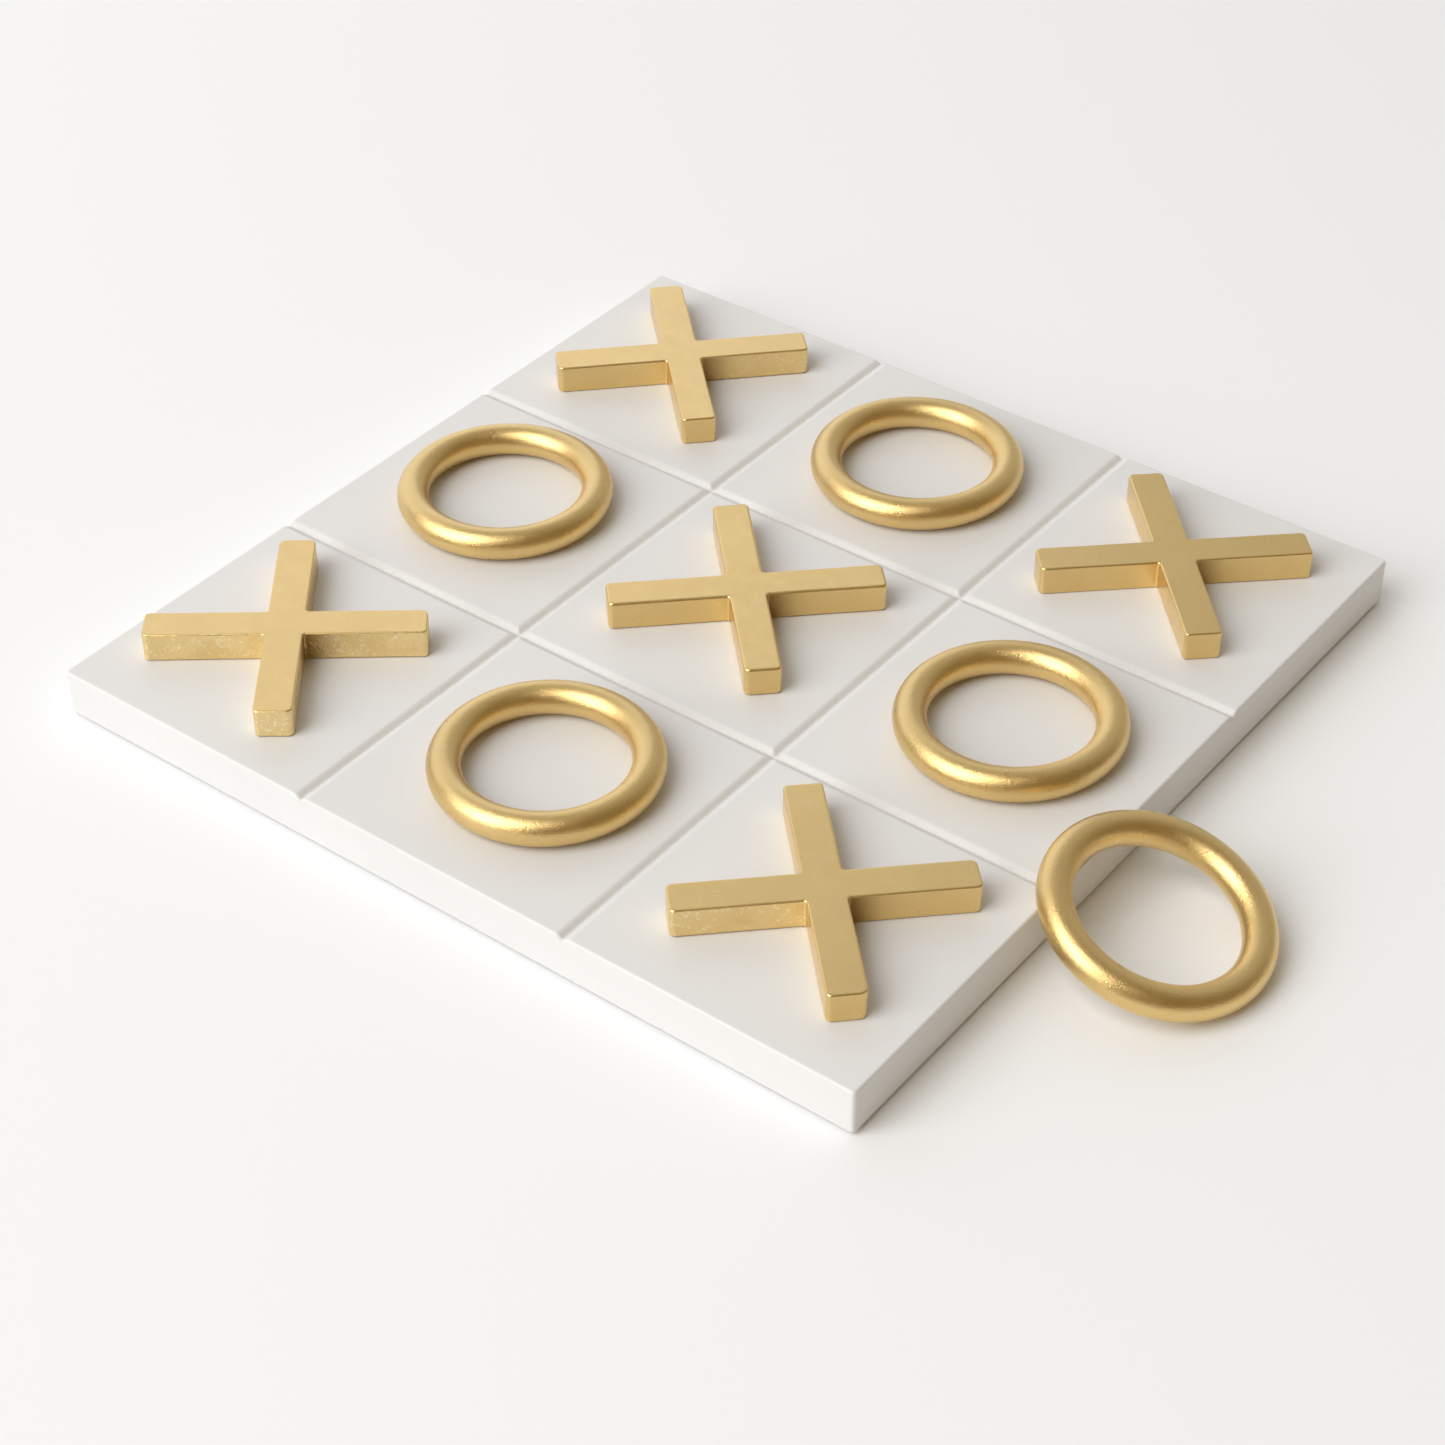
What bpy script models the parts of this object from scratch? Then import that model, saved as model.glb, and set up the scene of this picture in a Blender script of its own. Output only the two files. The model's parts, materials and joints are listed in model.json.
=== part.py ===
"""Tic tac toe set: a white lacquered board with four V grooves, five metal crosses and
five metal rings, one of them leaning off the board's right edge, on small felt pads.

Units are metres and +Z is up. The table is the plane z = 0, and the origin is the middle
of the centre pad's underside. The board's front edge runs along +X and its right edge
along +Y.
"""

import math

import bpy
from mathutils import Matrix

# Driving dimensions
BOARD_SIDE = 0.305  # a 12 inch board
BOARD_THICKNESS = 0.016
BOARD_EDGE_RADIUS = 0.001
GROOVE_DEPTH = 0.0022  # a 90 degree V, so it is twice as wide at the board's top
PAD_RADIUS = 0.010
PAD_THICKNESS = 0.0007
PAD_INSET = 0.022  # from the board's sides to a corner pad's centre
CROSS_SPAN = 0.090
CROSS_ARM_WIDTH = 0.012
CROSS_THICKNESS = 0.0098
CROSS_END_RADIUS = 0.0012
CROSS_INNER_RADIUS = 0.002
CROSS_EDGE_RADIUS = 0.0005
RING_RADIUS = 0.0311  # to the middle of the ring's round bar
RING_BAR_RADIUS = 0.00535
LEAN_ANGLE = math.radians(17.0)  # the leaning ring, from flat
LEAN_Y = -0.0396
GAP = 0.0003  # left between pieces that touch

# Worked out from them
BOARD_BOTTOM = PAD_THICKNESS + GAP
BOARD_TOP = BOARD_BOTTOM + BOARD_THICKNESS
PIECE_BOTTOM = BOARD_TOP + GAP
HALF_SIDE = BOARD_SIDE / 2
GROOVE_OFFSET = BOARD_SIDE / 6  # the grooves cut the top into nine equal squares
CUTTER_OVERHANG = 0.01

# Where each piece lies on the board: X, Y of its middle, and the turn of a cross's arms
CROSS_PLACES = {
    "x_center": (-0.0004, 0.0031, 43.6),
    "x_front_left": (-0.1045, -0.1011, 38.3),
    "x_front_right": (0.1037, -0.0988, 43.9),
    "x_back_left": (-0.1033, 0.1020, 45.4),
    "x_back_right": (0.0999, 0.1018, 42.8),
}
RING_PLACES = {
    "o_left": (-0.1013, 0.0020),
    "o_front": (0.0017, -0.0998),
    "o_back": (0.0002, 0.0998),
    "o_right": (0.1022, 0.0013),
}

# How finely round shapes are divided
RING_SEGMENTS = 48
BAR_SEGMENTS = 16
PAD_SEGMENTS = 40
CORNER_STEPS = 3
BEVEL_STEPS = 2
SHARP_ANGLE = math.radians(40)
MERGE_DISTANCE = 0.00002


def clear_scene():
    for obj in list(bpy.data.objects):
        bpy.data.objects.remove(obj)


def new_collection(name):
    collection = bpy.data.collections.new(name)
    bpy.context.scene.collection.children.link(collection)
    return collection


def new_material(name, color, roughness, metallic):
    material = bpy.data.materials.new(name)
    material.use_nodes = True
    shader = material.node_tree.nodes["Principled BSDF"]
    shader.inputs["Base Color"].default_value = (*color, 1.0)
    shader.inputs["Roughness"].default_value = roughness
    shader.inputs["Metallic"].default_value = metallic
    return material


def place(obj, name, collection, material=None):
    """Name an object, move it to its collection and give it its material."""
    obj.name = name
    for old in list(obj.users_collection):
        old.objects.unlink(obj)
    collection.objects.link(obj)
    if material:
        obj.data.materials.clear()
        obj.data.materials.append(material)
    return obj


def add_bevel(obj, radius):
    bevel = obj.modifiers.new("rounded_edges", "BEVEL")
    bevel.width = radius
    bevel.segments = BEVEL_STEPS
    bevel.limit_method = "ANGLE"
    bevel.angle_limit = SHARP_ANGLE


def shade_round(obj):
    obj.data.shade_smooth()
    obj.data.set_sharp_from_angle(angle=SHARP_ANGLE)


def add_groove_cutter(name, offset, turn, collection):
    """A square bar, set on its edge, that cuts one V groove right across the board."""
    bar_side = GROOVE_DEPTH * math.sqrt(2)
    bpy.ops.mesh.primitive_cube_add(size=1)
    cutter = place(bpy.context.object, name, collection)
    size = Matrix.Diagonal((bar_side, BOARD_SIDE + 2 * CUTTER_OVERHANG, bar_side, 1))
    on_edge = Matrix.Rotation(math.radians(45), 4, "Y")
    cutter.data.transform(on_edge @ size)
    cutter.rotation_euler.z = turn
    across = Matrix.Rotation(turn, 3, "Z") @ Matrix.Translation((offset, 0, 0)).translation
    cutter.location = (across.x, across.y, BOARD_TOP)
    cutter.hide_render = True
    cutter.display_type = "WIRE"
    return cutter


def make_board(collection, cutters, material):
    bpy.ops.mesh.primitive_cube_add(size=1)
    board = place(bpy.context.object, "board", collection, material)
    board.data.transform(Matrix.Diagonal((BOARD_SIDE, BOARD_SIDE, BOARD_THICKNESS, 1)))
    board.location.z = BOARD_BOTTOM + BOARD_THICKNESS / 2
    add_bevel(board, BOARD_EDGE_RADIUS)
    for direction, turn in (("y", 0.0), ("x", math.radians(90))):
        for side in (-1, 1):
            name = f"groove_along_{direction}_{'low' if side < 0 else 'high'}"
            cutter = add_groove_cutter(name, side * GROOVE_OFFSET, turn, cutters)
            cut = board.modifiers.new(name, "BOOLEAN")
            cut.operation = "DIFFERENCE"
            cut.solver = "EXACT"
            cut.object = cutter
    return board


def make_pads(collection, material):
    reach = HALF_SIDE - PAD_INSET
    places = {
        "pad_center": (0, 0),
        "pad_front_left": (-reach, -reach),
        "pad_front_right": (reach, -reach),
        "pad_back_left": (-reach, reach),
        "pad_back_right": (reach, reach),
    }
    for name, (x, y) in places.items():
        bpy.ops.mesh.primitive_cylinder_add(
            vertices=PAD_SEGMENTS, radius=PAD_RADIUS, depth=PAD_THICKNESS
        )
        pad = place(bpy.context.object, name, collection, material)
        pad.location = (x, y, PAD_THICKNESS / 2)
        shade_round(pad)


def arc(center_x, center_y, radius, start, end):
    """Points on an arc, with its angles in degrees."""
    points = []
    for step in range(CORNER_STEPS + 1):
        angle = math.radians(start + (end - start) * step / CORNER_STEPS)
        x = center_x + radius * math.cos(angle)
        y = center_y + radius * math.sin(angle)
        points.append((x, y))
    return points


def cross_outline():
    """The cross seen from above: one arm's rounded end and the fillet after it, four times."""
    half_width = CROSS_ARM_WIDTH / 2
    end_x = CROSS_SPAN / 2 - CROSS_END_RADIUS
    end_y = half_width - CROSS_END_RADIUS
    fillet = half_width + CROSS_INNER_RADIUS
    arm = arc(end_x, -end_y, CROSS_END_RADIUS, -90, 0)
    arm += arc(end_x, end_y, CROSS_END_RADIUS, 0, 90)
    arm += arc(fillet, fillet, CROSS_INNER_RADIUS, 270, 180)
    outline = []
    for quarter in range(4):
        cos = round(math.cos(quarter * math.pi / 2))
        sin = round(math.sin(quarter * math.pi / 2))
        outline += [(x * cos - y * sin, x * sin + y * cos) for x, y in arm]
    return outline


def make_cross(name, x, y, turn, collection, material):
    outline = cross_outline()
    curve = bpy.data.curves.new(name, "CURVE")
    curve.dimensions = "2D"
    curve.fill_mode = "BOTH"
    curve.extrude = CROSS_THICKNESS / 2
    spline = curve.splines.new("POLY")
    spline.points.add(len(outline) - 1)
    for point, (px, py) in zip(spline.points, outline):
        point.co = (px, py, 0, 1)
    spline.use_cyclic_u = True
    cross = bpy.data.objects.new(name, curve)
    place(cross, name, collection, material)
    weld = cross.modifiers.new("close_caps", "WELD")
    weld.merge_threshold = MERGE_DISTANCE
    add_bevel(cross, CROSS_EDGE_RADIUS)
    cross.location = (x, y, PIECE_BOTTOM + CROSS_THICKNESS / 2)
    cross.rotation_euler.z = math.radians(turn)
    return cross


def make_ring(name, collection, material):
    bpy.ops.mesh.primitive_torus_add(
        major_segments=RING_SEGMENTS,
        minor_segments=BAR_SEGMENTS,
        major_radius=RING_RADIUS,
        minor_radius=RING_BAR_RADIUS,
    )
    ring = place(bpy.context.object, name, collection, material)
    shade_round(ring)
    return ring


def lean_ring(ring):
    """Rest the ring's lower side on the table and its upper side on the board's right edge."""
    sin = math.sin(LEAN_ANGLE)
    cos = math.cos(LEAN_ANGLE)
    height = RING_RADIUS * sin + RING_BAR_RADIUS
    edge_x = HALF_SIDE - BOARD_EDGE_RADIUS
    edge_z = BOARD_TOP - BOARD_EDGE_RADIUS
    clearance = RING_BAR_RADIUS + BOARD_EDGE_RADIUS + GAP
    reach = (clearance - (height - edge_z) * cos) / sin
    ring.location = (edge_x + reach, LEAN_Y, height)
    ring.rotation_euler.y = LEAN_ANGLE


def build():
    clear_scene()
    pieces = new_collection("tic_tac_toe_set")
    cutters = new_collection("cutters")
    cutters.hide_render = True
    lacquer = new_material("white_lacquer", (0.83, 0.81, 0.77), 0.45, 0.0)
    brass = new_material("satin_brass", (0.78, 0.58, 0.27), 0.32, 1.0)
    felt = new_material("grey_felt", (0.20, 0.19, 0.18), 0.95, 0.0)
    make_board(pieces, cutters, lacquer)
    make_pads(pieces, felt)
    for name, (x, y, turn) in CROSS_PLACES.items():
        make_cross(name, x, y, turn, pieces, brass)
    for name, (x, y) in RING_PLACES.items():
        ring = make_ring(name, pieces, brass)
        ring.location = (x, y, PIECE_BOTTOM + RING_BAR_RADIUS)
    lean_ring(make_ring("o_leaning", pieces, brass))


build()
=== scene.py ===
"""Looks for the tic tac toe set: a softened lacquered board, cast brass crosses and
rings, and felt pads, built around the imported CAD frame. Units are metres."""

import json
import math

import bmesh
import bpy
import numpy as np
from mathutils import Matrix, Vector, noise

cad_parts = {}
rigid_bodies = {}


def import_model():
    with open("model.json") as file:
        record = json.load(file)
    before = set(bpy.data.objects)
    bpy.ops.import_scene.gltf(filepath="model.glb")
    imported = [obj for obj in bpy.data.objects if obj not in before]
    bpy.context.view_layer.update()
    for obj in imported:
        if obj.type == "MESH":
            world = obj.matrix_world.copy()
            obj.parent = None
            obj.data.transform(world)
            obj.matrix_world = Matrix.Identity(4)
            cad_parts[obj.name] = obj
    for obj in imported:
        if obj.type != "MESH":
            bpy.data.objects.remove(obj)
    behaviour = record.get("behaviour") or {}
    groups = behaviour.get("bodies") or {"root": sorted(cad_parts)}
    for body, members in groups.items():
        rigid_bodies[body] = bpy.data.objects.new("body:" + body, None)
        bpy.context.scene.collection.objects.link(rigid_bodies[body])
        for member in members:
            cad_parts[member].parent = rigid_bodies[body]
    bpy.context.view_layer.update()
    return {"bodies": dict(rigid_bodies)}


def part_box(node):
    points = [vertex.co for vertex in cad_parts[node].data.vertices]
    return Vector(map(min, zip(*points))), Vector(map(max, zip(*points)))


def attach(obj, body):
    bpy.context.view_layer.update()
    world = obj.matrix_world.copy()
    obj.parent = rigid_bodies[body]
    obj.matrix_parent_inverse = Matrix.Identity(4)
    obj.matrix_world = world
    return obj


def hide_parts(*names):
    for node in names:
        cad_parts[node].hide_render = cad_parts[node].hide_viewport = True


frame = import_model()

MM = 0.001

# The board, from its CAD node
BOARD_LOW, BOARD_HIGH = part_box("board")
HALF_SIDE = BOARD_HIGH.x
BOARD_TOP = BOARD_HIGH.z
BOARD_BOTTOM = BOARD_LOW.z
BOARD_EDGE = 0.9 * MM  # rounding of the top and bottom edges
BOARD_CORNER = 1.5 * MM  # rounding of the upright corners
GROOVE_OFFSET = HALF_SIDE / 3
GROOVE_HALF_WIDTH = 2.1 * MM
GROOVE_SLOPE = 0.8
GROOVE_LIP = 0.8 * MM  # how far the rounded lips reach each way
GROOVE_VALLEY = 0.55 * MM  # rounding of the bottom
MITRE_ROUND = 0.5 * MM  # rounding where two grooves cross

# The playing pieces: a ring's sizes come from its node, a cross's are part.py's.
# For each cross: its turn, the radius of its top edges in mm, how sandy its rough sides
# are, and which arms have such sides, by their angle before the turn
CROSSES = {
    "x_center": (43.6, 0.8, 0.0, ()),
    "x_front_left": (38.3, 0.5, 1.0, (0, 180, 270)),
    "x_front_right": (43.9, 0.6, 0.6, (180,)),
    "x_back_left": (45.4, 0.6, 0.45, (0,)),
    "x_back_right": (42.8, 0.6, 0.0, ()),
}
CROSS_SPAN = 90 * MM
CROSS_ARM_WIDTH = 12 * MM
CROSS_END_RADIUS = 1.9 * MM
CROSS_END_VARIATION = 0.6  # how much an end's corners differ, as a share of their radius
CROSS_INNER_RADIUS = 1.0 * MM
CROSS_UNEVEN = 0.12 * MM
CORNER_SHADE_REACH = 6 * MM  # how far the painted shade spreads from one inner corner
RINGS = ("o_left", "o_front", "o_back", "o_right", "o_leaning")
RING_UNEVEN = 0.05 * MM
LEAN_ANGLE = math.radians(17)
SETTLE = 0.22 * MM  # the pieces sit this much closer to the board than the CAD gap

PADS = ("pad_center", "pad_front_left", "pad_front_right", "pad_back_left", "pad_back_right")
PAD_EDGE = 0.2 * MM
PAD_TRIM = 0.08 * MM  # keeps the frayed outline inside the CAD pad's
PAD_FRAY = 0.06 * MM

# How finely round shapes are divided, and the seeds of the castings' noise
BOARD_EDGE_STEPS = 6
BOARD_FOOT_STEPS = 5
BOARD_WALL_STEPS = 4
GROOVE_STEPS = 12  # to each side of a groove's middle
CROSS_CORNER_STEPS = 6
CROSS_EDGE_STEPS = 5
CROSS_WALLS = (0.6, 0.2, -0.2, -0.6)  # heights of the loops down its sides
RING_POINTS = 160
RING_BAR_POINTS = 40
PAD_POINTS = 72
FIRST_CROSS_SEED = 1.0
FIRST_RING_SEED = 11.0
NOISE_SEED = 1  # without it, noise_vector takes its offsets from the clock

# Colours, roughness and bump. Colours are linear
LACQUER_COLORS = ((0.77, 0.77, 0.77), (0.79, 0.79, 0.79))
# Painted shade: the grooves are greyer than the flat top; the speckle between the two colours is
# their rough paint
GROOVE_SHADE_AND_SPECK_COLORS = ((0.745, 0.74, 0.73), (0.785, 0.785, 0.78))
LACQUER_ROUGHNESS = (0.40, 0.47)
GROOVE_ROUGHER = 0.2
BRASS_COLORS = ((0.805, 0.584, 0.248), (0.825, 0.602, 0.260))
BRASS_HOLLOW = (0.56, 0.38, 0.14)
BRASS_PIT = (0.42, 0.26, 0.08)
# Painted shade for the sides near one inner corner of each cross
BRASS_CORNER_SHADE = (0.34, 0.20, 0.06)
SAND_BRASS = (0.95, 0.76, 0.40)
# Painted glints: bright spots that stand in for the sparkle of the sandy sides
SAND_PAINTED_GLINT = (1.0, 0.90, 0.62)
BRASS_ROUGHNESS = (0.27, 0.33)
SAND_ROUGHER = 0.14
CROSS_GRAIN_DEPTH = 0.055 * MM
RING_GRAIN_DEPTH = 0.15 * MM
FELT_COLORS = ((0.12, 0.115, 0.11), (0.26, 0.25, 0.24))
FLOOR_COLORS = ((0.935, 0.95, 0.97), (0.945, 0.96, 0.98))
SOFT_HALVES = (0.35, 0.65)  # splits noise into two colours with a soft line between them

# The camera that took the photograph, solved from the board's corners
CAMERA_AIM = Vector((28.7, -47.9, 17.0)) * MM
CAMERA_DISTANCE = 928.5 * MM
CAMERA_AZIMUTH = math.radians(37.27)
CAMERA_ELEVATION = math.radians(39.01)
CAMERA_ROLL = math.radians(-0.13)
CAMERA_LENS = 74.98
CAMERA_SENSOR = 36

# The studio: the room round the table is dim and warm to the right, and lighter to the
# back left. Light angles are in degrees, seen from the board
FLOOR_SIZE = 12
FLOOR_DROP = 0.02 * MM  # keeps the floor from sharing a plane with the pads
ROOM_LIGHT_SIDE = (-0.62, 0.73, 0.28)  # towards the lighter side
ROOM_FADE = (-0.1, 0.9)
ROOM_DIM = (0.26, 0.195, 0.11)
ROOM_LIGHT = (0.54, 0.53, 0.50)


# ---------------------------------------------------------------- small tools


def new_object(name, data):
    obj = bpy.data.objects.new(name, data)
    bpy.context.scene.collection.objects.link(obj)
    return obj


def smooth_object(name, bm):
    """A smooth-shaded object made from a bmesh, which is freed."""
    mesh = bpy.data.meshes.new(name)
    bm.normal_update()
    bm.to_mesh(mesh)
    bm.free()
    mesh.shade_smooth()
    return new_object(name, mesh)


def keep_faces_flat(obj):
    """Let the large faces set the shading, so that only the rounded edges look round."""
    obj.modifiers.new("flat_faces", "WEIGHTED_NORMAL").weight = 100


def finish_piece(obj, node, material):
    """Give a piece its finish and let it ride with, and stand for, its CAD node."""
    obj.data.materials.append(material)
    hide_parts(node)
    body = node if node in frame["bodies"] else "board"
    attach(obj, body)


def grid_faces(bm, rows, closed_columns=False, closed_rows=False, flip=False):
    """Quads between rows of vertices."""
    count = len(rows[0])
    across = count if closed_columns else count - 1
    down = len(rows) if closed_rows else len(rows) - 1
    for i in range(down):
        a, b = rows[i], rows[(i + 1) % len(rows)]
        for j in range(across):
            k = (j + 1) % count
            quad = (a[j], a[k], b[k], b[j])
            bm.faces.new(quad[::-1] if flip else quad)


# ---------------------------------------------------------------- materials


class Nodes:
    """A material's node tree, with short calls for the nodes used here."""

    def __init__(self, name):
        self.material = bpy.data.materials.new(name)
        self.material.use_nodes = True
        self.tree = self.material.node_tree
        self.shader = self.tree.nodes["Principled BSDF"]
        self.coords = self.tree.nodes.new("ShaderNodeTexCoord").outputs["Object"]

    def link(self, source, target):
        self.tree.links.new(source, target)

    def feed(self, socket, source):
        """Link a node's output to one of the shader's own inputs."""
        self.link(source, self.shader.inputs[socket])

    def set(self, **values):
        for name, value in values.items():
            self.shader.inputs[name.replace("_", " ")].default_value = value

    def noise(self, size, seed, detail=3.0, roughness=0.5):
        """Noise whose features are about this many metres across."""
        node = self.tree.nodes.new("ShaderNodeTexNoise")
        node.noise_dimensions = "4D"
        node.inputs["Scale"].default_value = 1 / size
        node.inputs["W"].default_value = seed
        node.inputs["Detail"].default_value = detail
        node.inputs["Roughness"].default_value = roughness
        self.link(self.coords, node.inputs["Vector"])
        return node.outputs["Fac"]

    def dots(self, size, seed):
        """Distance from scattered points, for pits."""
        node = self.tree.nodes.new("ShaderNodeTexVoronoi")
        node.voronoi_dimensions = "4D"
        node.inputs["Scale"].default_value = 1 / size
        node.inputs["W"].default_value = seed
        self.link(self.coords, node.inputs["Vector"])
        return node.outputs["Distance"]

    def remap(self, source, span, out=(0.0, 1.0)):
        """Turn the values within span smoothly into those within out."""
        node = self.tree.nodes.new("ShaderNodeMapRange")
        node.interpolation_type = "SMOOTHSTEP"
        for socket, value in zip(("From Min", "From Max", "To Min", "To Max"), (*span, *out)):
            node.inputs[socket].default_value = value
        self.link(source, node.inputs["Value"])
        return node.outputs["Result"]

    def math(self, operation, a, b):
        node = self.tree.nodes.new("ShaderNodeMath")
        node.operation = operation
        for socket, value in zip(node.inputs, (a, b)):
            if isinstance(value, (int, float)):
                socket.default_value = value
            else:
                self.link(value, socket)
        return node.outputs["Value"]

    def mix(self, factor, color_a, color_b):
        node = self.tree.nodes.new("ShaderNodeMix")
        node.data_type = "RGBA"
        self.link(factor, node.inputs["Factor"])
        for socket, value in ((node.inputs["A"], color_a), (node.inputs["B"], color_b)):
            if isinstance(value, tuple):
                socket.default_value = (*value, 1)
            else:
                self.link(value, socket)
        return node.outputs["Result"]

    def attribute(self, name):
        node = self.tree.nodes.new("ShaderNodeAttribute")
        node.attribute_name = name
        return node.outputs["Fac"]

    def bump(self, height, distance, before=None):
        node = self.tree.nodes.new("ShaderNodeBump")
        node.inputs["Distance"].default_value = distance
        node.inputs["Strength"].default_value = 1.0
        self.link(height, node.inputs["Height"])
        if before is not None:
            self.link(before, node.inputs["Normal"])
        return node.outputs["Normal"]


def lacquer_material():
    """White matte lacquer, a little rougher down in the grooves, and greyer there with painted
    shade and speckled like their rough paint.
    """
    n = Nodes("white_lacquer")
    n.set(IOR=1.5)
    groove = n.attribute("groove")
    cloud = n.noise(60 * MM, 1.0, detail=2)
    speck = n.noise(0.9 * MM, 2.0, detail=4, roughness=0.7)
    flat_color = n.mix(n.remap(cloud, SOFT_HALVES), *LACQUER_COLORS)
    # painted shade greys the grooves, and the speck noise gives their rough paint
    groove_shade_and_speck_color = n.mix(n.remap(speck, (0.42, 0.62)), *GROOVE_SHADE_AND_SPECK_COLORS)
    n.feed("Base Color", n.mix(groove, flat_color, groove_shade_and_speck_color))

    roughness = n.remap(cloud, (0.3, 0.7), LACQUER_ROUGHNESS)
    n.feed("Roughness", n.math("ADD", roughness, n.math("MULTIPLY", groove, GROOVE_ROUGHER)))

    skin = n.bump(n.noise(6 * MM, 4.0, detail=2), 0.02 * MM)
    grain = n.bump(n.noise(0.5 * MM, 3.0), 0.012 * MM, before=skin)
    n.feed("Normal", n.bump(n.math("MULTIPLY", speck, groove), 0.1 * MM, before=grain))
    return n.material


def brass_material(name, seed, grain_depth):
    """Satin cast brass; where the attribute side is 1 it keeps the grain of the sand mould."""
    n = Nodes(name)
    n.set(Metallic=1.0, Coat_Weight=0.2, Coat_Roughness=0.35, Coat_IOR=1.5)
    patch = n.noise(16 * MM, seed, detail=4, roughness=0.6)
    grain = n.noise(0.55 * MM, seed + 5, detail=4, roughness=0.6)
    sand = n.noise(1.2 * MM, seed + 11, detail=2, roughness=0.6)
    sand_patches = n.remap(n.noise(9 * MM, seed + 13, detail=2), (0.38, 0.55), (0.45, 1))
    sandy = n.math("MULTIPLY", n.attribute("side"), sand_patches)

    color = n.mix(n.remap(patch, SOFT_HALVES), *BRASS_COLORS)
    color = n.mix(n.remap(grain, (0.34, 0.5), (0.08, 0)), color, BRASS_HOLLOW)
    color = n.mix(n.math("MULTIPLY", sandy, 0.85), color, SAND_BRASS)
    # painted glints on the sandy sides
    painted_glint = n.math("MULTIPLY", n.remap(sand, (0.56, 0.64)), sandy)
    color = n.mix(painted_glint, color, SAND_PAINTED_GLINT)
    # painted shade darkens the sides near one inner corner, from the attribute corner
    color = n.mix(n.math("MULTIPLY", n.attribute("corner"), 0.75), color, BRASS_CORNER_SHADE)
    pits = n.remap(n.dots(6 * MM, seed + 3), (0.03, 0.07), (0.6, 0))
    n.feed("Base Color", n.mix(pits, color, BRASS_PIT))

    roughness = n.remap(n.noise(5 * MM, seed + 7, detail=4), (0.3, 0.7), BRASS_ROUGHNESS)
    n.feed("Roughness", n.math("ADD", roughness, n.math("MULTIPLY", sandy, SAND_ROUGHER)))

    wave = n.bump(n.noise(12 * MM, seed + 9, detail=1), 0.06 * MM)
    skin = n.bump(grain, grain_depth, before=wave)
    n.feed("Normal", n.bump(n.math("MULTIPLY", sand, sandy), 0.5 * MM, before=skin))
    return n.material


def felt_material():
    n = Nodes("grey_felt")
    n.set(Roughness=0.95, Sheen_Weight=0.3, Sheen_Roughness=0.6)
    fibre = n.noise(0.25 * MM, 1.0, detail=5, roughness=0.75)
    n.feed("Base Color", n.mix(fibre, *FELT_COLORS))
    n.feed("Normal", n.bump(fibre, 0.15 * MM))
    return n.material


def floor_material():
    n = Nodes("pale_floor")
    n.set(Roughness=0.9)
    n.feed("Base Color", n.mix(n.noise(0.8, 1.0, detail=1), *FLOOR_COLORS))
    return n.material


# ---------------------------------------------------------------- board


def soft_positive(value, reach):
    """max(value, 0) with its corner rounded over reach each way."""
    rounded = (value + reach) ** 2 / (4 * reach)
    return np.where(value > reach, value, np.where(value < -reach, 0.0, rounded))


def groove_depth(position):
    """How far below the board's top a groove that crosses this line lies."""
    nearest = np.minimum(abs(position - GROOVE_OFFSET), abs(position + GROOVE_OFFSET))
    valley = np.sqrt(nearest**2 + GROOVE_VALLEY**2)
    return GROOVE_SLOPE * soft_positive(GROOVE_HALF_WIDTH - valley, GROOVE_LIP)


def board_lines():
    """Grid lines along one side: close together at the rounded edges and in the grooves."""
    lines = []
    for step in range(BOARD_EDGE_STEPS + 1):
        angle = math.radians(90 * step / BOARD_EDGE_STEPS)
        lines.append(HALF_SIDE - BOARD_EDGE * (1 - math.cos(angle)))
    lines.append(HALF_SIDE - BOARD_CORNER)
    reach = GROOVE_HALF_WIDTH + GROOVE_LIP
    for step in range(-GROOVE_STEPS, GROOVE_STEPS + 1):
        lines.append(GROOVE_OFFSET + reach * step / GROOVE_STEPS)
    lines += list(np.linspace(GROOVE_OFFSET + reach, HALF_SIDE - BOARD_CORNER, 9)[1:-1])
    lines += list(np.linspace(0, GROOVE_OFFSET - reach, 6)[:-1])
    lines = sorted(set(round(value, 7) for value in lines))
    return np.array([-value for value in reversed(lines) if value > 0] + lines)


def board_top_point(x, y, x_groove, y_groove):
    """One point of the board's top, with its corner rounded in plan and its edge rounded down."""
    corner = HALF_SIDE - BOARD_CORNER
    over_x, over_y = abs(x) - corner, abs(y) - corner
    inset = HALF_SIDE - max(abs(x), abs(y))
    if over_x > 0 and over_y > 0:
        radius = max(over_x, over_y)
        length = math.hypot(over_x, over_y)
        x = math.copysign(corner + over_x / length * radius, x)
        y = math.copysign(corner + over_y / length * radius, y)
        inset = BOARD_CORNER - radius
    drop = 0.0
    if inset < BOARD_EDGE:
        drop = BOARD_EDGE - math.sqrt(BOARD_EDGE**2 - (BOARD_EDGE - inset) ** 2)
    deep, shallow = max(x_groove, y_groove), min(x_groove, y_groove)
    mitre = max(MITRE_ROUND - (deep - shallow), 0) ** 2 / (4 * MITRE_ROUND)
    deep += mitre * min(shallow / MITRE_ROUND, 1)
    return Vector((x, y, BOARD_TOP - deep - drop))


def board_top(bm):
    """Rows of vertices over the board's top, each marked with how deep in a groove it is."""
    groove_layer = bm.verts.layers.float.new("groove")
    full_mark = 0.35 * GROOVE_HALF_WIDTH
    lines = board_lines()
    depths = groove_depth(lines)
    rows = []
    for y, y_groove in zip(lines, depths):
        row = []
        for x, x_groove in zip(lines, depths):
            vertex = bm.verts.new(board_top_point(x, y, x_groove, y_groove))
            vertex[groove_layer] = min(max(x_groove, y_groove) / full_mark, 1)
            row.append(vertex)
        rows.append(row)
    return rows


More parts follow.
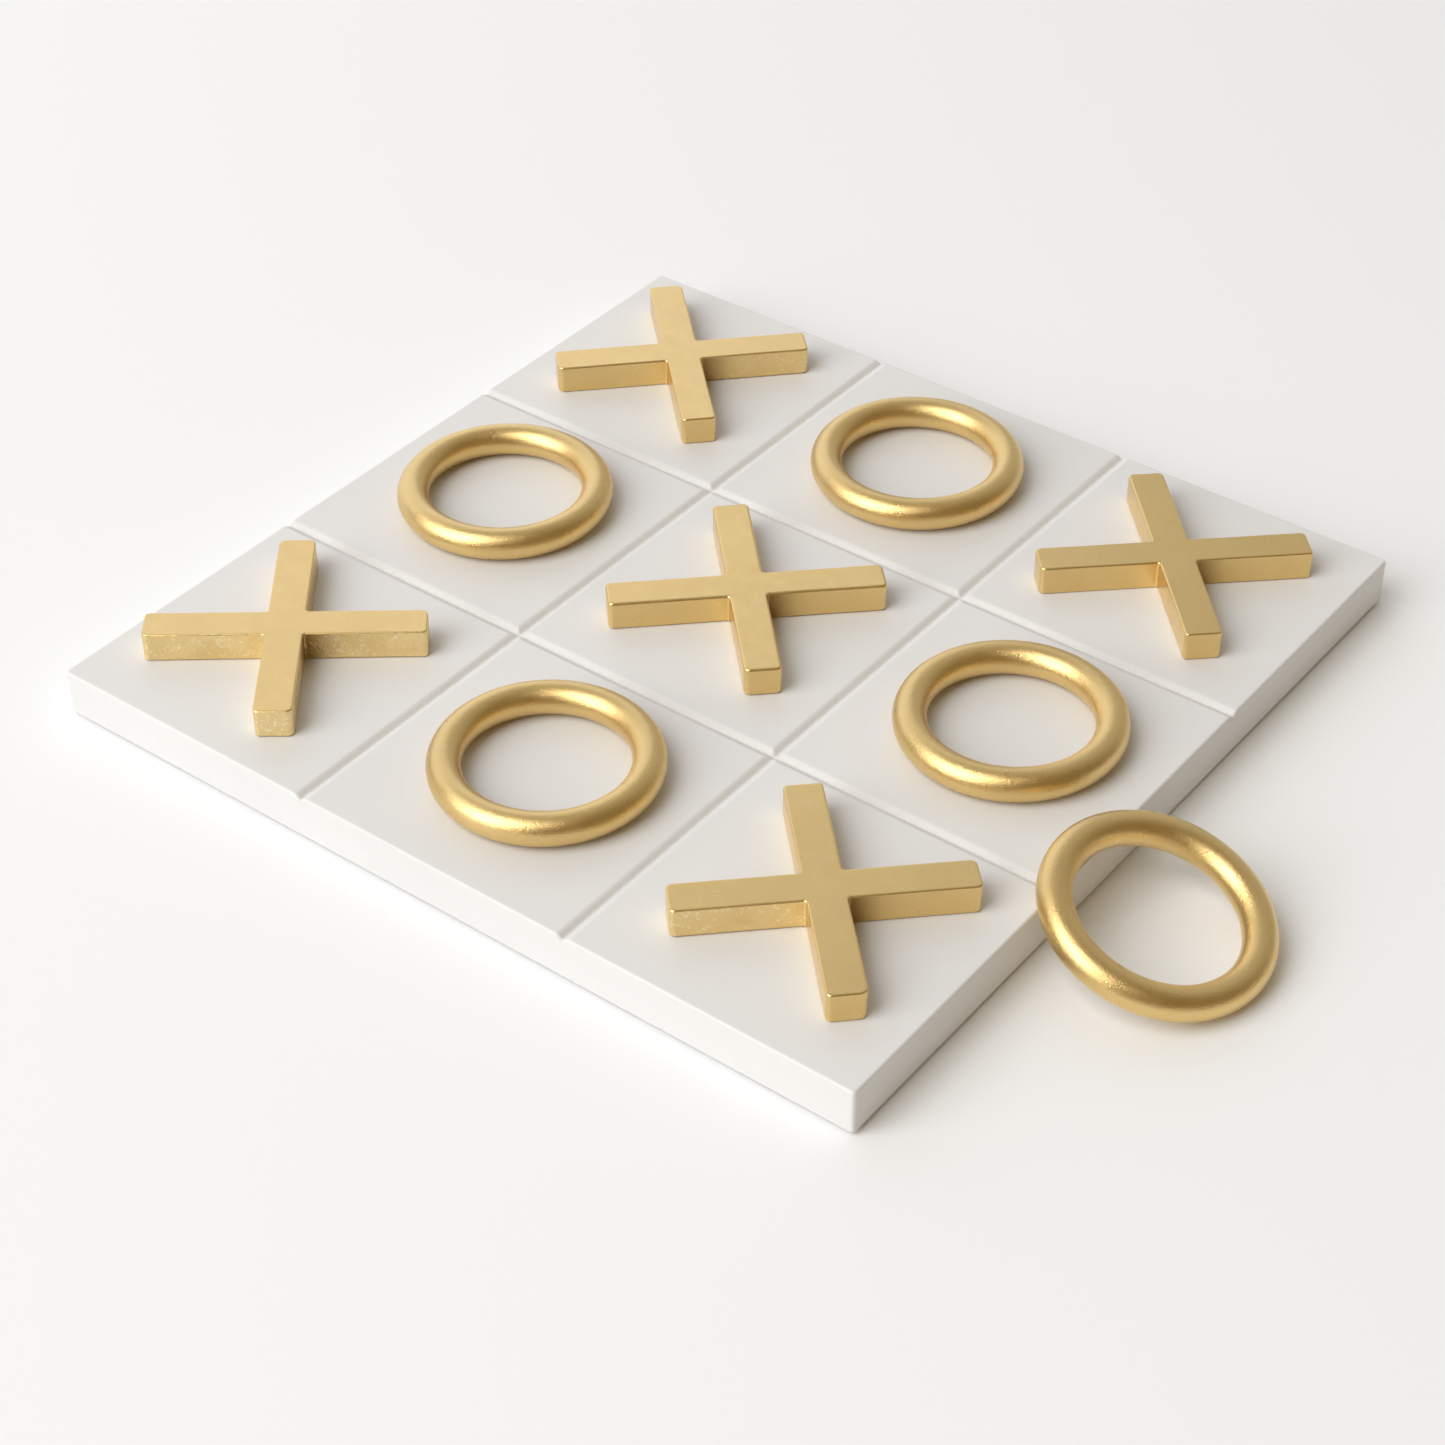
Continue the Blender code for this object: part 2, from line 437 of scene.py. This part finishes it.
def outward(point):
    """The direction straight out of the board's side at a point on its outline."""
    corner = HALF_SIDE - BOARD_CORNER
    out = Vector((0, 0, 0))
    for axis in (0, 1):
        if abs(point[axis]) > corner + 1e-7:
            out[axis] = math.copysign(abs(point[axis]) - corner, point[axis])
    return out.normalized()


def board_sides(bm, rim):
    """Loops of vertices from the top's rim down the sides and round the bottom edge."""
    wall_top = BOARD_TOP - BOARD_EDGE - GROOVE_HALF_WIDTH - 0.5 * MM
    wall_foot = BOARD_BOTTOM + BOARD_EDGE
    loops = [rim]
    for step in range(BOARD_WALL_STEPS + 1):
        z = wall_top + (wall_foot - wall_top) * step / BOARD_WALL_STEPS
        loops.append([bm.verts.new((v.co.x, v.co.y, z)) for v in rim])
    for step in range(1, BOARD_FOOT_STEPS + 1):
        angle = math.radians(90 * step / BOARD_FOOT_STEPS)
        inset = BOARD_EDGE * (1 - math.cos(angle))
        z = BOARD_BOTTOM + BOARD_EDGE * (1 - math.sin(angle))
        loop = []
        for vertex in rim:
            place = vertex.co - outward(vertex.co) * inset
            loop.append(bm.verts.new((place.x, place.y, z)))
        loops.append(loop)
    return loops


def make_board(material):
    bm = bmesh.new()
    rows = board_top(bm)
    grid_faces(bm, rows)
    rim = rows[0][:-1] + [row[-1] for row in rows[:-1]]
    rim += rows[-1][:0:-1] + [row[0] for row in rows[:0:-1]]
    loops = board_sides(bm, rim)
    grid_faces(bm, loops, closed_columns=True, flip=True)
    bm.faces.new(loops[-1][::-1])
    board = smooth_object("lacquered_board", bm)
    keep_faces_flat(board)
    finish_piece(board, "board", material)


# ---------------------------------------------------------------- crosses


def arc(center_x, center_y, radius, start, end):
    """Points on an arc, with its angles in degrees."""
    points = []
    for step in range(CROSS_CORNER_STEPS + 1):
        angle = math.radians(start + (end - start) * step / CROSS_CORNER_STEPS)
        x = center_x + radius * math.cos(angle)
        y = center_y + radius * math.sin(angle)
        points.append((x, y))
    return points


def cross_outline(inset, end_radii):
    """The cross from above, drawn in by inset, with the same number of points at any inset."""
    half_width = CROSS_ARM_WIDTH / 2
    fillet = half_width + CROSS_INNER_RADIUS
    along = np.linspace(fillet, CROSS_SPAN / 2 - max(end_radii), 9)
    outline = []
    for quarter in range(4):
        low_radius, high_radius = end_radii[2 * quarter], end_radii[2 * quarter + 1]
        arm = [(x, -half_width + inset) for x in along[1:-1]]
        for side, radius, start in ((-1, low_radius, -90), (1, high_radius, 0)):
            center_x = CROSS_SPAN / 2 - radius
            center_y = side * (half_width - radius)
            arm += arc(center_x, center_y, radius - inset, start, start + 90)
        arm += [(x, half_width - inset) for x in along[-2:0:-1]]
        arm += arc(fillet, fillet, CROSS_INNER_RADIUS + inset, 270, 180)
        cos = round(math.cos(quarter * math.pi / 2))
        sin = round(math.sin(quarter * math.pi / 2))
        outline += [(x * cos - y * sin, x * sin + y * cos) for x, y in arm]
    return outline


def cross_profile(half, edge_radius):
    """The inset and height of each loop of a cross, from its top to its underside."""
    rounding = []
    for step in range(CROSS_EDGE_STEPS + 1):
        angle = math.radians(90 * step / CROSS_EDGE_STEPS)
        inset = edge_radius * (1 - math.sin(angle))
        rounding.append((inset, half - edge_radius * (1 - math.cos(angle))))
    flat = [(edge_radius + 0.3 * MM, half)]
    walls = [(0.0, (half - edge_radius) * part) for part in CROSS_WALLS]
    lower = [(inset, -z - SETTLE) for inset, z in reversed(flat + rounding)]
    return flat + rounding + walls + lower


def cross_loops(bm, seed, half, edge_radius, sandiness, sandy_arms):
    """The cross's loops, with the attributes that show its sandy sides and the painted shade near
    one inner corner.
    """
    side_layer = bm.verts.layers.float.new("side")
    corner_shade_layer = bm.verts.layers.float.new("corner")
    spread = [noise.noise(Vector((seed * 3.7, corner * 1.9, 0.5))) for corner in range(8)]
    end_radii = [CROSS_END_RADIUS * (1 + CROSS_END_VARIATION * value) for value in spread]
    loops = []
    for inset, z in cross_profile(half, edge_radius):
        on_side = abs(z) < half - edge_radius * 0.5
        loop = []
        for x, y in cross_outline(inset, end_radii):
            vertex = bm.verts.new((x, y, z))
            arm = round(math.degrees(math.atan2(y, x)) / 90) * 90 % 360
            # painted shade fades out from the inner corner between the arms at 0 and 270 degrees
            from_corner = math.hypot(x - CROSS_ARM_WIDTH / 2, y + CROSS_ARM_WIDTH / 2)
            corner_shade = math.exp(-((from_corner / CORNER_SHADE_REACH) ** 2))
            vertex[side_layer] = sandiness if on_side and arm in sandy_arms else 0.0
            vertex[corner_shade_layer] = corner_shade if on_side else 0.0
            loop.append(vertex)
        loops.append(loop)
    return loops


def make_cross(node, seed):
    turn, edge_mm, sandiness, sandy_arms = CROSSES[node]
    low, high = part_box(node)
    half = (high.z - low.z) / 2
    bm = bmesh.new()
    loops = cross_loops(bm, seed, half, edge_mm * MM, sandiness, sandy_arms)
    grid_faces(bm, loops, closed_columns=True, flip=True)
    bm.faces.new(loops[0])
    bm.faces.new(loops[-1][::-1])
    for vertex in bm.verts:
        wobble = noise.noise_vector(vertex.co * 60 + Vector((seed * 7.3, 0, 0)))
        vertex.co += Vector((wobble.x, wobble.y, 0)) * CROSS_UNEVEN
    bm.transform(Matrix.Rotation(math.radians(turn), 4, "Z"))
    cross = smooth_object(node + "_casting", bm)
    cross.location = (low + high) / 2
    keep_faces_flat(cross)
    brass = brass_material("brass_" + node, seed, CROSS_GRAIN_DEPTH)
    finish_piece(cross, node, brass)


# ---------------------------------------------------------------- rings


def make_ring(node, seed):
    low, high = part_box(node)
    flat_low, flat_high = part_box("o_left")
    bar = (flat_high.z - flat_low.z) / 2
    radius = (flat_high.y - flat_low.y) / 2 - bar
    bm = bmesh.new()
    rows = []
    for i in range(RING_POINTS):
        turn = 2 * math.pi * i / RING_POINTS
        from_middle = Vector((math.cos(turn), math.sin(turn), 0))
        row = []
        for j in range(RING_BAR_POINTS):
            angle = 2 * math.pi * j / RING_BAR_POINTS
            out = from_middle * math.cos(angle) + Vector((0, 0, math.sin(angle)))
            place = from_middle * radius + out * bar
            wobble = noise.noise(place * 70 + Vector((seed * 5.1, 0, 0)))
            row.append(bm.verts.new(place + out * wobble * RING_UNEVEN))
        rows.append(row)
    grid_faces(bm, rows, closed_columns=True, closed_rows=True, flip=True)
    if node == "o_leaning":
        bm.transform(Matrix.Rotation(LEAN_ANGLE, 4, "Y"))
    ring = smooth_object(node + "_casting", bm)
    ring.location = (low + high) / 2
    if node != "o_leaning":
        ring.location.z -= SETTLE
    brass = brass_material("brass_" + node, seed, RING_GRAIN_DEPTH)
    finish_piece(ring, node, brass)


# ---------------------------------------------------------------- pads


def make_pad(node, material):
    low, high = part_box(node)
    radius = (high.x - low.x) / 2
    thickness = high.z - low.z
    soft = PAD_EDGE * 0.3
    lower = [(PAD_EDGE, 0), (soft, soft), (0, PAD_EDGE)]
    upper = [(0, thickness - PAD_EDGE), (soft, thickness - soft), (PAD_EDGE, thickness)]
    bm = bmesh.new()
    loops = []
    for inset, z in lower + upper:
        loop = []
        for i in range(PAD_POINTS):
            turn = 2 * math.pi * i / PAD_POINTS
            around = Vector((math.cos(turn) * 9, math.sin(turn) * 9, z * 2000))
            reach = radius - inset - PAD_TRIM + PAD_FRAY * noise.noise(around)
            loop.append(bm.verts.new((reach * math.cos(turn), reach * math.sin(turn), z)))
        loops.append(loop)
    grid_faces(bm, loops, closed_columns=True)
    bm.faces.new(loops[0][::-1])
    bm.faces.new(loops[-1])
    pad = smooth_object(node + "_felt", bm)
    pad.location = ((low.x + high.x) / 2, (low.y + high.y) / 2, low.z)
    keep_faces_flat(pad)
    finish_piece(pad, node, material)


# ---------------------------------------------------------------- studio


def make_floor():
    bpy.ops.mesh.primitive_plane_add(size=FLOOR_SIZE)
    floor = bpy.context.object
    floor.name = "floor"
    floor.location.z = -FLOOR_DROP
    floor.data.materials.append(floor_material())


def light_direction(azimuth, elevation):
    """A unit vector; azimuth turns from +X towards +Y, both in degrees."""
    azimuth, elevation = math.radians(azimuth), math.radians(elevation)
    flat = math.cos(elevation)
    return Vector((flat * math.cos(azimuth), flat * math.sin(azimuth), math.sin(elevation)))


def add_softbox(name, azimuth, elevation, distance, spread, radiance, color):
    """A rectangular light that spans the given angles, seen from the board, in degrees."""
    light = bpy.data.lights.new(name, "AREA")
    light.shape = "RECTANGLE"
    light.size = 2 * distance * math.tan(math.radians(spread[0] / 2))
    light.size_y = 2 * distance * math.tan(math.radians(spread[1] / 2))
    light.energy = radiance * math.pi * light.size * light.size_y
    light.color = color
    obj = new_object(name, light)
    towards = light_direction(azimuth, elevation)
    obj.location = towards * distance
    obj.rotation_euler = (-towards).to_track_quat("-Z", "Y").to_euler()


def make_room():
    """A world whose brightness fades from one side of the room to the other."""
    world = bpy.data.worlds.new("studio")
    bpy.context.scene.world = world
    world.use_nodes = True
    tree = world.node_tree
    coords = tree.nodes.new("ShaderNodeTexCoord")
    dot = tree.nodes.new("ShaderNodeVectorMath")
    dot.operation = "DOT_PRODUCT"
    dot.inputs[1].default_value = ROOM_LIGHT_SIDE
    fade = tree.nodes.new("ShaderNodeMapRange")
    fade.interpolation_type = "SMOOTHSTEP"
    fade.inputs["From Min"].default_value, fade.inputs["From Max"].default_value = ROOM_FADE
    ramp = tree.nodes.new("ShaderNodeMix")
    ramp.data_type = "RGBA"
    ramp.inputs["A"].default_value = (*ROOM_DIM, 1)
    ramp.inputs["B"].default_value = (*ROOM_LIGHT, 1)
    tree.links.new(coords.outputs["Generated"], dot.inputs[0])
    tree.links.new(dot.outputs["Value"], fade.inputs["Value"])
    tree.links.new(fade.outputs["Result"], ramp.inputs["Factor"])
    tree.links.new(ramp.outputs["Result"], tree.nodes["Background"].inputs["Color"])


def make_lights():
    add_softbox(
        "key", azimuth=248, elevation=41, distance=5.0, spread=(42, 60),
        radiance=3.9, color=(0.965, 0.985, 1.0),
    )
    add_softbox(
        "side_panel", azimuth=160, elevation=25, distance=2.2, spread=(70, 48),
        radiance=0.58, color=(0.88, 0.92, 1.10),
    )


def make_camera():
    camera = new_object("camera", bpy.data.cameras.new("camera"))
    camera.data.lens = CAMERA_LENS
    camera.data.sensor_width = CAMERA_SENSOR
    back = Vector((
        math.sin(CAMERA_AZIMUTH) * math.cos(CAMERA_ELEVATION),
        -math.cos(CAMERA_AZIMUTH) * math.cos(CAMERA_ELEVATION),
        math.sin(CAMERA_ELEVATION),
    ))
    camera.location = CAMERA_AIM + back * CAMERA_DISTANCE
    turn = (-back).to_track_quat("-Z", "Y").to_matrix()
    camera.rotation_euler = (turn @ Matrix.Rotation(CAMERA_ROLL, 3, "Z")).to_euler()
    bpy.context.scene.camera = camera


def build():
    noise.seed_set(NOISE_SEED)
    make_board(lacquer_material())
    for index, node in enumerate(CROSSES):
        make_cross(node, FIRST_CROSS_SEED + index)
    for index, node in enumerate(RINGS):
        make_ring(node, FIRST_RING_SEED + index)
    felt = felt_material()
    for node in PADS:
        make_pad(node, felt)
    make_floor()
    make_room()
    make_lights()
    make_camera()
    bpy.context.scene.view_settings.view_transform = "Standard"


build()
